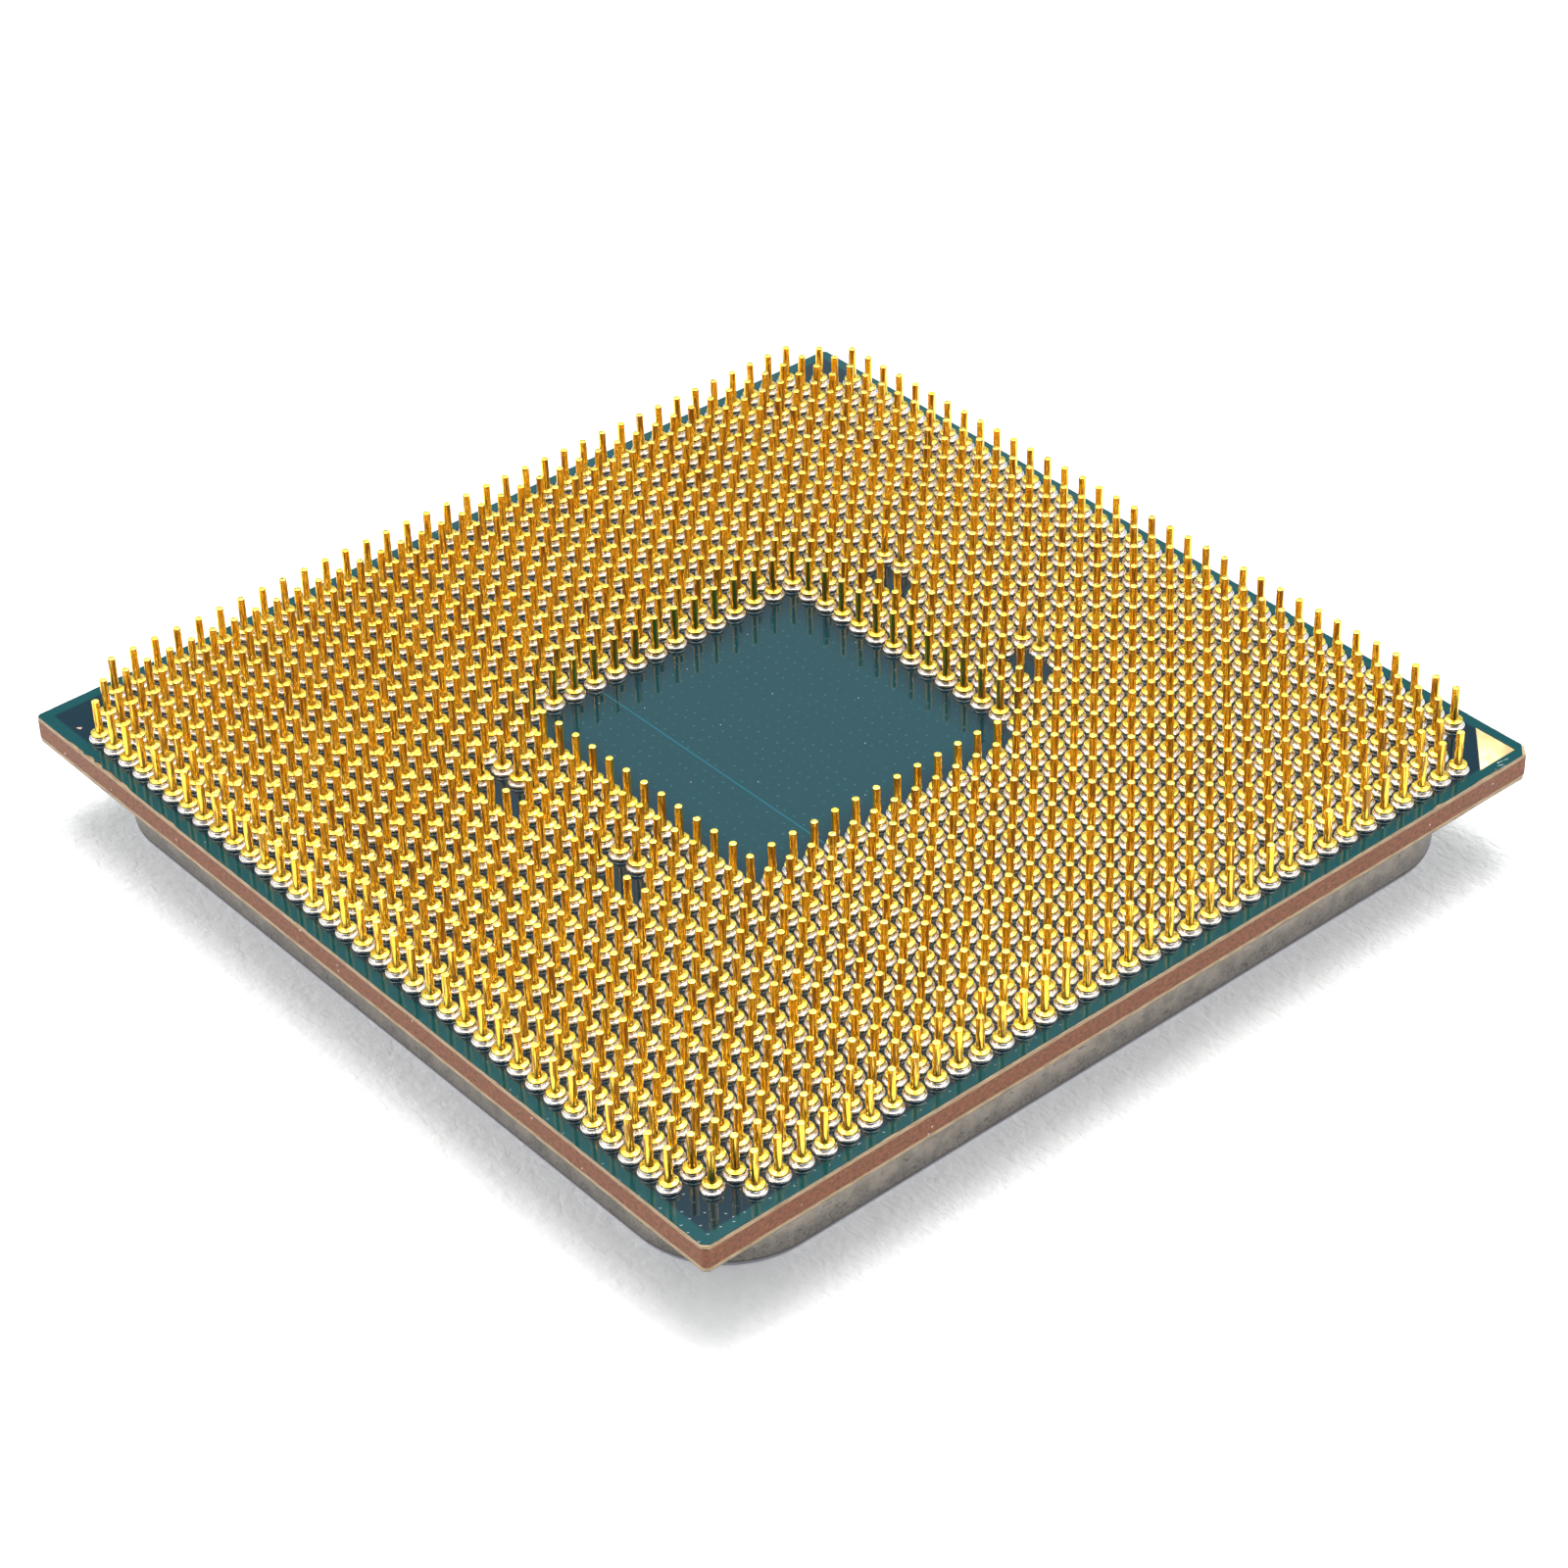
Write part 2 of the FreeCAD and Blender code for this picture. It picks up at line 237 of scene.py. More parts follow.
def pins(zone, board_top, rng):
    """The nail-head pins of one zone, each a little turned and leaning."""
    vertices, quads, fans = turned(PIN_PROFILE, PIN_SEGMENTS)
    vertices = (vertices - [0, 0, PIN_FOOT]) * MM
    places = grid_places("pins_" + zone)
    count = len(places)
    spin = rng.uniform(0, 2 * math.pi, count)
    lean = np.abs(rng.normal(0, LEAN, count))
    few = rng.random(count) < SHARE_OF_FEW
    lean[few] = rng.uniform(LEAN, LEAN_OF_FEW, few.sum())
    turns = rotations(spin, lean, rng.uniform(0, 2 * math.pi, count))
    feet = np.column_stack([places * PITCH, np.full(count, board_top + PIN_FOOT * MM)])
    placed = np.einsum("nij,vj->nvi", turns, vertices) + feet[:, None]
    faces = repeated_faces((quads, fans), count, len(vertices))
    return new_piece("gold_pins_" + zone, placed.reshape(-1, 3), faces)


def collars(zone, board_top, rng):
    """The solder collars of one zone, each slightly out of round."""
    vertices, quads, fans = turned(COLLAR_PROFILE, PIN_SEGMENTS)
    vertices = vertices * MM
    places = grid_places("pin_joints_" + zone)
    count = len(places)
    angle = np.arctan2(vertices[:, 1], vertices[:, 0])[None]
    swell = np.ones((count, len(vertices)))
    for lobes, spread in COLLAR_WAVES:
        phase = rng.uniform(0, 2 * math.pi, (count, 1))
        swell += rng.normal(0, spread, (count, 1)) * np.cos(lobes * angle + phase)
    swell = np.clip(swell, *COLLAR_WIDTH_LIMITS)
    height = np.clip(rng.normal(1, COLLAR_HEIGHT_SPREAD, (count, 1)), *COLLAR_HEIGHT_LIMITS)
    x = places[:, :1] * PITCH + vertices[None, :, 0] * swell
    y = places[:, 1:] * PITCH + vertices[None, :, 1] * swell
    is_neck = vertices[None, :, 2] > NECK_HEIGHT * MM
    z = board_top + np.where(is_neck, vertices[None, :, 2], vertices[None, :, 2] * height)
    placed = np.stack([x, y, z], axis=2).reshape(-1, 3)
    faces = repeated_faces((quads, fans), count, len(vertices))
    return new_piece("solder_collars_" + zone, placed, faces, sharp_angle=60)


def lands():
    """The copper lands, as plain discs between the collars and the board's copper."""
    low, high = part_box("pin_lands")
    radius = (high.x - round(high.x / PITCH) * PITCH) / MM
    vertices, quads, fans = turned([(radius, low.z / MM), (radius, high.z / MM)], PIN_SEGMENTS)
    places = grid_places("pin_lands")
    centres = np.column_stack([places * PITCH, np.zeros(len(places))])
    placed = (centres[:, None] + vertices * MM).reshape(-1, 3)
    faces = repeated_faces((quads, fans), len(places), len(vertices))
    return new_piece("copper_lands", placed, faces)


def square_walk(reach, steps):
    """Points round a square, counterclockwise from the -X, -Y corner, with `steps` intervals a side."""
    along = np.linspace(-reach, reach, steps + 1)[:-1]
    fixed = np.full(steps, reach)
    return np.concatenate([
        np.column_stack([along, -fixed]),
        np.column_stack([fixed, along]),
        np.column_stack([-along, fixed]),
        np.column_stack([-fixed, -along]),
    ])


def smooth_noise(count, step, rng):
    """A closed run of random heights from -1 to 1, one knot every `step` points."""
    knots = rng.uniform(-1, 1, max(4, count // step))
    spots = np.arange(count) * len(knots) / count
    low = spots.astype(int)
    share = spots - low
    share = share * share * (3 - 2 * share)
    return knots[low % len(knots)] * (1 - share) + knots[(low + 1) % len(knots)] * share


def outline_steps(half):
    """Intervals a side of the board's outline."""
    return round(2 * (half - BORDER) / PITCH) * CELL_STEPS * OUTLINE_SPLIT


def chip_depths(half, rng):
    """How deep the upper edge is chipped at each point of the outline."""
    steps = outline_steps(half)
    points = square_walk(half, steps)
    side = np.arange(len(points)) // steps
    along = np.where(side % 2 == 0, points[:, 0], points[:, 1])
    depths = np.zeros(len(points))
    for chip_side, place, reach, bite in CHIPS:
        share = np.abs(along - place * MM) / (reach * MM)
        bowl = np.clip(1 - share ** 2, 0, 1) ** 0.6
        coarse = 0.4 * smooth_noise(len(points), 5, rng)
        fine = 0.3 * smooth_noise(len(points), 2, rng)
        depths += np.where(side == chip_side, bowl * (0.9 + coarse + fine) * bite * MM, 0)
    return depths


def edge_line(half, wear, rng, chips=0):
    """The outline of one board layer: a square with fine waves, chips and blunted corners."""
    setback, corner_share = wear
    steps = outline_steps(half)
    points = square_walk(half, steps)
    side = np.arange(len(points)) // steps
    inward = np.array([[0, 1], [-1, 0], [0, -1], [1, 0]])[side]
    waves = 0.5 * smooth_noise(len(points), 30, rng) + 0.35 * smooth_noise(len(points), 8, rng)
    nicks = 0.15 * smooth_noise(len(points), 2, rng)
    depths = setback * (1 + waves + nicks) + chips
    points = points + inward * depths[:, None]
    for sign_x, sign_y, cut in CORNER_CUTS:
        over = sign_x * points[:, 0] + sign_y * points[:, 1] - 2 * half + cut * MM * corner_share
        over = np.clip(over, 0, None) / 2
        points = points - np.column_stack([sign_x * over, sign_y * over])
    return points


def walls(rings):
    """Vertices and quads of a tube through rings of equally many points."""
    count = len(rings[0])
    here = np.arange(count)
    after = (here + 1) % count
    faces = []
    for ring in range(len(rings) - 1):
        low = ring * count
        high = low + count
        faces.append(np.column_stack([low + here, low + after, high + after, high + here]))
    return np.vstack(rings), np.vstack(faces)


def ringed_piece(name, rings, sharp_angle=40):
    """A closed piece through rings of equally many points, with a flat face at each end."""
    vertices, faces = walls(rings)
    count = len(rings[0])
    first = list(range(count))[::-1]
    last = list(range(len(vertices) - count, len(vertices)))
    return new_piece(name, vertices, faces.tolist() + [first, last], sharp_angle)


def at_height(points, height):
    """Flat points with a height added to each."""
    return np.column_stack([points, np.broadcast_to(height, len(points))])


def board_layer(name, node, wear, rng, chips=0.0):
    """A solid sheet of the board with a worn outline; chips slope its upper edge."""
    low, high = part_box(node)
    outline = edge_line(high.x, wear, rng)
    chips = np.broadcast_to(chips, len(outline))
    shoulder = outline * (1 - (EDGE_BREAK + chips[:, None]) / high.x)
    drop = np.minimum(EDGE_BREAK_HEIGHT + chips, CHIP_LIMIT * (high.z - low.z))
    inside = square_walk(high.x - BORDER, len(outline) // 4)
    rings = [at_height(inside, low.z), at_height(outline, low.z)]
    for row in range(1, EDGE_ROWS):
        share = row / EDGE_ROWS
        waves = smooth_noise(len(outline), 3, rng)[:, None]
        waved = outline * (1 - SIDE_WAVES * wear[0] / high.x * waves)
        rings.append(at_height(waved, low.z + (high.z - drop - low.z) * share))
    rings += [at_height(outline, high.z - drop), at_height(shoulder, high.z), at_height(inside, high.z)]
    return ringed_piece(name, rings, BOARD_SHARP_ANGLE)


def pierced_cell():
    """A grid square round a hole: its points from the middle of the cell, and quads."""
    border = square_walk(0.5 * PITCH, CELL_STEPS)
    hole = border / np.linalg.norm(border, axis=1)[:, None] * HOLE_RADIUS
    here = np.arange(len(border))
    after = (here + 1) % len(border)
    quads = np.column_stack([here, after, after + len(border), here + len(border)])
    return np.vstack([border, hole]), quads


def whole_cell():
    """A grid square without a hole, cut into squares that match its neighbours."""
    ticks = np.linspace(-0.5, 0.5, CELL_STEPS + 1) * PITCH
    points = np.array([[x, y] for y in ticks for x in ticks])
    row = CELL_STEPS + 1
    start = (np.arange(CELL_STEPS)[:, None] * row + np.arange(CELL_STEPS)).ravel()
    return points, np.column_stack([start, start + 1, start + row + 1, start + row])


def place_keys(points):
    """Whole numbers that are the same for points at the same place."""
    return np.round(points / SAME_PLACE).astype(np.int64)


def merged(points, faces):
    """The same mesh with points at one place made into one."""
    _, first, back = np.unique(place_keys(points), axis=0, return_index=True, return_inverse=True)
    return points[first], back.ravel()[faces]


def pierced_sheet(half, pinned):
    """The mask's flat face inside its border: a hole at each pinned grid place."""
    reach = round((half - BORDER) / PITCH - 0.5)
    kinds = {True: pierced_cell(), False: whole_cell()}
    points = []
    faces = []
    total = 0
    for row in range(-reach, reach + 1):
        for column in range(-reach, reach + 1):
            cell_points, cell_faces = kinds[(column, row) in pinned]
            points.append(cell_points + [column * PITCH, row * PITCH])
            faces.append(cell_faces + total)
            total += len(cell_points)
    return merged(np.vstack(points), np.vstack(faces))


def border_fans(flat, reach, count):
    """Triangles from the flat face's outer points to a finer ring of points that comes after them."""
    coarse = square_walk(reach, count // (4 * OUTLINE_SPLIT))
    index_of = {tuple(key): index for index, key in enumerate(place_keys(flat))}
    rim = [index_of[tuple(key)] for key in place_keys(coarse)]
    faces = []
    for index, corner in enumerate(rim):
        next_corner = rim[(index + 1) % len(rim)]
        ring = [len(flat) + (index * OUTLINE_SPLIT + step) % count for step in range(OUTLINE_SPLIT + 1)]
        faces += [[corner, ring[step], ring[step + 1]] for step in range(OUTLINE_SPLIT)]
        faces.append([corner, ring[-1], next_corner])
    return faces


def closed_sheet(faces, size):
    """Faces of a sheet whose lower points repeat its upper ones: top, bottom and the walls between."""
    edges = [(face[k - 1], face[k]) for face in faces for k in range(len(face))]
    known = set(edges)
    sides = [[end, start, start + size, end + size] for start, end in edges if (end, start) not in known]
    bottom = [[point + size for point in reversed(face)] for face in faces]
    return faces + bottom + sides


def pin_side_mask(node, wear, rng, chips):
    """The solder mask with a hole under every collar; the window for the gold triangle is cut from it
    afterwards.
    """
    low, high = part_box(node)
    pinned = {tuple(place) for place in grid_places("pin_lands")}
    flat, cells = pierced_sheet(high.x, pinned)
    outline = edge_line(high.x, wear, rng, chips)
    shoulder = outline * (1 - EDGE_BREAK / high.x)
    count = len(outline)
    middle = (square_walk(high.x - BORDER, count // 4) + shoulder) / 2
    rim = np.vstack([middle, shoulder])
    here = np.arange(count)
    after = (here + 1) % count
    strip = np.column_stack([here, here + count, after + count, after]) + len(flat)
    points = np.vstack([flat, rim])
    faces = cells.tolist() + strip.tolist() + border_fans(flat, high.x - BORDER, count)
    vertices = np.vstack([at_height(points, high.z), at_height(points, low.z)])
    return new_piece("solder_mask_top", vertices, closed_sheet(faces, len(points)), BOARD_SHARP_ANGLE)


def cut_window(piece, node, growth):
    """Cuts the triangle of a CAD node, grown by a little on each side, out of a piece."""
    low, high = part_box(node)
    corner = np.array([high.x + growth, high.y + growth])
    leg = high.x - low.x + (2 + math.sqrt(2)) * growth
    triangle = np.array([corner, corner - [leg, 0], corner - [0, leg]])
    solid = np.vstack([at_height(triangle, low.z - PITCH), at_height(triangle, high.z + PITCH)])
    faces = [(2, 1, 0), (3, 4, 5), (0, 1, 4, 3), (1, 2, 5, 4), (2, 0, 3, 5)]
    cutter = new_piece("window_cutter", solid, faces)
    change = piece.modifiers.new("window", "BOOLEAN")
    change.operation = "DIFFERENCE"
    change.solver = "EXACT"
    change.object = cutter
    bpy.context.view_layer.update()
    evaluated = piece.evaluated_get(bpy.context.evaluated_depsgraph_get())
    done = bpy.data.meshes.new_from_object(evaluated)
    piece.modifiers.clear()
    piece.data = done
    done.set_sharp_from_angle(angle=math.radians(BOARD_SHARP_ANGLE))
    bpy.data.objects.remove(cutter)


def rounded_square(half, radius, steps):
    """A square outline with round corners, `steps` intervals a corner."""
    turn = np.linspace(0, math.pi / 2, steps + 1)
    arc = np.column_stack([np.cos(turn), np.sin(turn)]) * radius + (half - radius)
    quarter = np.array([[0, -1], [1, 0]])
    corners = [arc]
    for _ in range(3):
        corners.append(corners[-1] @ quarter.T)
    return np.vstack(corners)


def heat_spreader():
    """The lid: rounded outer face edge, straight sides, a foot and the cavity over the die."""
    low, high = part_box("heat_spreader")
    half = high.x
    rings = []

    def add_ring(inset, height):
        outline = rounded_square(half - inset, LID_CORNER_RADIUS - inset, CORNER_STEPS)
        rings.append(at_height(outline, height))

    for step in range(ROUNDING_STEPS + 1):
        angle = step / ROUNDING_STEPS * math.pi / 2
        height = low.z + LID_EDGE_ROUNDING * (1 - math.cos(angle))
        add_ring(LID_EDGE_ROUNDING * (1 - math.sin(angle)), height)
    add_ring(0, (low.z + high.z) / 2)
    for step in range(TOP_ROUNDING_STEPS + 1):
        angle = step / TOP_ROUNDING_STEPS * math.pi / 2
        height = high.z - LID_TOP_ROUNDING * (1 - math.sin(angle))
        add_ring(LID_TOP_ROUNDING * (1 - math.cos(angle)), height)
    cavity_half = half - LID_FOOT_WIDTH
    for grow, height in ((LID_TOP_ROUNDING, high.z), (0, high.z - LID_TOP_ROUNDING), (0, CAVITY_FLOOR)):
        outline = rounded_square(cavity_half + grow, CAVITY_CORNER_RADIUS + grow, CORNER_STEPS)
        rings.append(at_height(outline, height))
    return ringed_piece("nickel_heat_spreader", rings, sharp_angle=50)


def gold_triangle():
    """The marker of the pin side, with a short curve of three points at each tip."""
    low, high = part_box("corner_marker_pin_side")
    corner = np.array([high.x, high.y])
    leg = high.x - low.x
    tips = np.array([corner, corner - [leg, 0], corner - [0, leg]])
    outline = []
    for tip, before, beyond in zip(tips, np.roll(tips, 1, axis=0), np.roll(tips, -1, axis=0)):
        to_before = (before - tip) / np.linalg.norm(before - tip)
        to_beyond = (beyond - tip) / np.linalg.norm(beyond - tip)
        for share in (0.0, 0.5, 1.0):
            pull = TIP_BLUNTING * ((1 - share) ** 2 * to_before + share ** 2 * to_beyond)
            outline.append(tip + pull)
    outline = np.array(outline)
    middle = outline.mean(axis=0)
    inner = middle + (outline - middle) * TRIANGLE_TOP_SHARE
    bevel_height = high.z - TRIANGLE_BEVEL
    rings = [at_height(outline, low.z), at_height(outline, bevel_height), at_height(inner, high.z)]
    return ringed_piece("gold_triangle_top", rings)


# ---------------------------------------------------------------- material nodes

def plug(tree, socket, value):
    """Links a socket to the input, or sets the input to a plain value."""
    if isinstance(value, bpy.types.NodeSocket):
        tree.links.new(value, socket)
    else:
        socket.default_value = value


def add(tree, kind, inputs=None, **settings):
    """A new node with its settings and inputs."""
    made = tree.nodes.new("ShaderNode" + kind)
    for name, value in settings.items():
        setattr(made, name, value)
    for name, value in (inputs or {}).items():
        plug(tree, made.inputs[name], value)
    return made


def maths(tree, operation, first, second=0.0):
    """One sum, product, larger value or the like of numbers."""
    made = add(tree, "Math", operation=operation)
    plug(tree, made.inputs[0], first)
    plug(tree, made.inputs[1], second)
    return made.outputs[0]


def dot(tree, first, second):
    """How far one direction points along another."""
    made = add(tree, "VectorMath", operation="DOT_PRODUCT")
    plug(tree, made.inputs[0], first)
    plug(tree, made.inputs[1], tuple(second))
    return made.outputs["Value"]


def away(tree, place, spot):
    """Distance of a place from a spot."""
    made = add(tree, "VectorMath", operation="DISTANCE")
    plug(tree, made.inputs[0], place)
    plug(tree, made.inputs[1], spot)
    return made.outputs["Value"]


def scaled(tree, place, size):
    """Coordinates multiplied by a number, or by one number for each axis."""
    factors = size if isinstance(size, tuple) else (size, size, size)
    made = add(tree, "VectorMath", operation="MULTIPLY")
    plug(tree, made.inputs[0], place)
    plug(tree, made.inputs[1], factors)
    return made.outputs[0]


def noise(tree, place, size, detail=3.0, roughness=0.55):
    """Noise whose grains are about 1 / size metres."""
    inputs = {"Vector": scaled(tree, place, size), "Scale": 1.0, "Detail": detail, "Roughness": roughness}
    return add(tree, "TexNoise", inputs).outputs["Fac"]


def cells(tree, place, size, randomness=1.0, dimensions="3D"):
    """Distance to the nearest cell centre, in cell widths; 2D cells are columns along Z."""
    inputs = {"Vector": scaled(tree, place, size), "Scale": 1.0, "Randomness": randomness}
    return add(tree, "TexVoronoi", inputs, voronoi_dimensions=dimensions).outputs["Distance"]


def between(tree, value, low, high, to_low=0.0, to_high=1.0):
    """A smooth step of a value from low to high."""
    inputs = {"Value": value, "From Min": low, "From Max": high, "To Min": to_low, "To Max": to_high}
    return add(tree, "MapRange", inputs, interpolation_type="SMOOTHSTEP").outputs[0]


def mix(tree, share, first, second):
    """A colour between two colours; inputs 6 and 7 and output 2 of a Mix node are its colours."""
    made = add(tree, "Mix", data_type="RGBA")
    plug(tree, made.inputs[0], share)
    for socket, colour in ((made.inputs[6], first), (made.inputs[7], second)):
        plug(tree, socket, (*colour, 1.0) if isinstance(colour, tuple) else colour)
    return made.outputs[2]


def stained(tree, colour, share, strength, stain):
    """A colour with a stain over it: the share times the strength says how much."""
    return mix(tree, maths(tree, "MULTIPLY", share, strength), colour, stain)


def mix_value(tree, share, first, second):
    """A number between two numbers; inputs 2 and 3 and output 0 of a Mix node are its numbers."""
    made = add(tree, "Mix", data_type="FLOAT")
    plug(tree, made.inputs[0], share)
    plug(tree, made.inputs[2], first)
    plug(tree, made.inputs[3], second)
    return made.outputs[0]


def bump(tree, height, distance, strength, normal=None):
    """A surface normal tilted by a height, over one that is bumped already if given."""
    inputs = {"Height": height, "Distance": distance, "Strength": strength}
    if normal is not None:
        inputs["Normal"] = normal
    return add(tree, "Bump", inputs).outputs[0]


def axes(tree, place):
    """The x, y and z of the coordinates."""
    return add(tree, "SeparateXYZ", {"Vector": place}).outputs


def start(name, metallic, **constants):
    """A material's node tree, its surface shader and the coordinates in metres."""
    made = bpy.data.materials.new(name)
    made.use_nodes = True
    tree = made.node_tree
    tree.nodes.clear()
    shader = add(tree, "BsdfPrincipled", {"Metallic": metallic, **constants})
    output = add(tree, "OutputMaterial")
    tree.links.new(shader.outputs[0], output.inputs[0])
    place = add(tree, "TexCoord").outputs["Object"]
    return made, tree, shader, place


def finish_material(tree, shader, colour, roughness, normal):
    """Links what a surface shows to its shader."""
    plug(tree, shader.inputs["Base Color"], colour)
    plug(tree, shader.inputs["Roughness"], roughness)
    plug(tree, shader.inputs["Normal"], normal)


# ---------------------------------------------------------------- materials

def pin_gold():
    """Gold plating: brown streaks down the shaft along the drawing lines, painted dark reflections of the
    neighbouring pins, and a grainy head and tip painted brighter and yellower than the shaft as painted
    light.
    """
    made, tree, shader, place = start("pin_gold", 1.0)
    up = axes(tree, add(tree, "NewGeometry").outputs["Normal"])[2]
    on_top = between(tree, up, 0.5, 0.9)
    on_shaft = between(tree, on_top, 0.0, 1.0, 1.0, 0.0)
    lines = noise(tree, place, (10000, 10000, 620), 3.0, 0.6)
    grain = noise(tree, place, 9000, 3.0)
    patches = noise(tree, place, 1100, 2.0)
    # Painted light and shade: the same plating is coloured lighter and yellower on upward faces (head and
    # tip) than on the shaft
    shaft = mix(tree, between(tree, patches, 0.35, 0.65), (1.0, 0.60, 0.06), (1.0, 0.69, 0.10))
    head = mix(tree, between(tree, patches, 0.35, 0.65), (1.0, 0.75, 0.085), (1.0, 0.83, 0.18))
    colour = mix(tree, on_top, shaft, head)
    # Brown streaks along the drawing lines on the shaft: painted dark reflections of the neighbouring
    # pins, which also lower the metallic
    painted_reflection_streak = maths(tree, "MULTIPLY", between(tree, lines, 0.50, 0.60), on_shaft)
    colour = stained(tree, colour, painted_reflection_streak, 0.85, (0.26, 0.085, 0.014))
    shaft_rough = between(tree, lines, 0.3, 0.7, 0.08, 0.30)
    top_rough = between(tree, grain, 0.3, 0.7, 0.22, 0.40)
    rough = mix_value(tree, on_top, shaft_rough, top_rough)
    normal = bump(tree, lines, 0.020 * MM, 0.6)
    normal = bump(tree, grain, 0.010 * MM, maths(tree, "MULTIPLY", on_top, 0.5), normal)
    plug(tree, shader.inputs["Metallic"], between(tree, painted_reflection_streak, 0.0, 1.0, 1.0, 0.6))
    finish_material(tree, shader, colour, rough, normal)
    return made


def solder():
    """Bright solder, lumpy and a little oxidised."""
    made, tree, shader, place = start("bright_solder", 1.0)
    lumps = noise(tree, place, 6500, 2.0)
    grain = noise(tree, place, 22000, 2.0)
    dull = between(tree, noise(tree, place, 3200, 3.0), 0.45, 0.7)
    colour = mix(tree, dull, (0.98, 0.95, 0.92), (0.78, 0.74, 0.72))
    rough = between(tree, dull, 0.0, 1.0, 0.18, 0.38)
    normal = bump(tree, lumps, 0.018 * MM, 0.7)
    normal = bump(tree, grain, 0.004 * MM, 0.5, normal)
    finish_material(tree, shader, colour, rough, normal)
    return made


def over_trace(tree, x, y, node):
    """1 over the thin trace of a CAD node, 0 beside it."""
    low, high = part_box(node)
    width = high.y - low.y
    off_line = maths(tree, "ABSOLUTE", maths(tree, "SUBTRACT", y, (low.y + high.y) / 2))
    on_line = between(tree, off_line, 0.4 * width, 0.7 * width, 1.0, 0.0)
    in_length = between(tree, maths(tree, "ABSOLUTE", x), high.x - 0.1 * MM, high.x, 1.0, 0.0)
    return maths(tree, "MULTIPLY", on_line, in_length)


def chipped_spot(tree, place, flat_place):
    """1 where a flake of the mask is missing, with a ragged outline."""
    ragged = maths(tree, "MULTIPLY", noise(tree, place, 8000, 3.0), 0.42 * MM)
    from_chip = maths(tree, "ADD", away(tree, flat_place, CHIPPED_SPOT), ragged)
    return between(tree, from_chip, *CHIPPED_RADII, 1.0, 0.0)


def fine_scratches(tree, place, flat_place):
    """Scratches that fade out away from the rubbed spot."""
    lines = between(tree, noise(tree, place, (9000, 3000, 0), 2.0), 0.58, 0.66, 0.0, 0.55)
    rubbed = between(tree, away(tree, flat_place, RUBBED_SPOT), *RUBBED_RADII, 1.0, 0.0)
    return maths(tree, "MULTIPLY", lines, rubbed)


def board_mask(trace_node, plane_node):
    """Glossy teal mask: dark over copper and darker still among the pins as painted shade, paler in the
    well, lighter at the border, with via dots, a trace and dust.
    """
    made, tree, shader, place = start("solder_mask", 0.0, IOR=1.68)
    x, y = axes(tree, place)[:2]
    reach = maths(tree, "MAXIMUM", maths(tree, "ABSOLUTE", x), maths(tree, "ABSOLUTE", y))
    plane_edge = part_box(plane_node)[1].x
    wavy = maths(tree, "MULTIPLY", noise(tree, place, 900, 2.0), 0.05 * MM)
    wavy_reach = maths(tree, "ADD", reach, wavy)
    over_resin = between(tree, wavy_reach, plane_edge - 0.06 * MM, plane_edge + 0.10 * MM)
    cloud = noise(tree, place, 120, 3.0)
    fine = noise(tree, place, 2600, 2.0)
    # The mask among the pins is darker than in the well: painted shade of the pins
    dark = mix(tree, cloud, (0.002, 0.020, 0.036), (0.003, 0.028, 0.044))
    pale = mix(tree, cloud, (0.004, 0.047, 0.061), (0.006, 0.057, 0.072))
    light = mix(tree, fine, (0.001, 0.058, 0.066), (0.002, 0.074, 0.082))
    in_well = between(tree, reach, *WELL_EDGE, 1.0, 0.0)
    colour = mix(tree, over_resin, mix(tree, in_well, dark, pale), light)
    vias = between(tree, cells(tree, place, 2000, 0.35, "2D"), 0.06, 0.13, 1.0, 0.0)
    strength = between(tree, noise(tree, place, 1300, 1.0), 0.35, 0.65, 0.10, 0.45)
    colour = stained(tree, colour, maths(tree, "MULTIPLY", vias, in_well), strength, (0.03, 0.19, 0.24))
    trace = over_trace(tree, x, y, trace_node)
    colour = stained(tree, colour, trace, 0.42, (0.004, 0.21, 0.30))
    dust = between(tree, cells(tree, place, 300, 1.0, "2D"), 0.004, 0.009, 1.0, 0.0)
    colour = stained(tree, colour, dust, 0.6, (0.70, 0.69, 0.62))
    flat_place = scaled(tree, place, (1.0, 1.0, 0.0))
    chip = chipped_spot(tree, place, flat_place)
    colour = mix(tree, chip, colour, (0.72, 0.42, 0.34))
    scratches = fine_scratches(tree, place, flat_place)
    colour = mix(tree, scratches, colour, (0.50, 0.60, 0.58))
    marks = maths(tree, "MAXIMUM", maths(tree, "MAXIMUM", dust, chip), scratches)
    rough = between(tree, noise(tree, place, 500, 3.0), 0.3, 0.7, 0.03, 0.07)
    rough = maths(tree, "ADD", rough, maths(tree, "MULTIPLY", marks, 0.5))
    normal = bump(tree, noise(tree, place, 700, 2.0), 0.006 * MM, 0.2)
    normal = bump(tree, maths(tree, "ADD", trace, vias), 0.003 * MM, 0.5, normal)
    finish_material(tree, shader, colour, rough, normal)
    return made


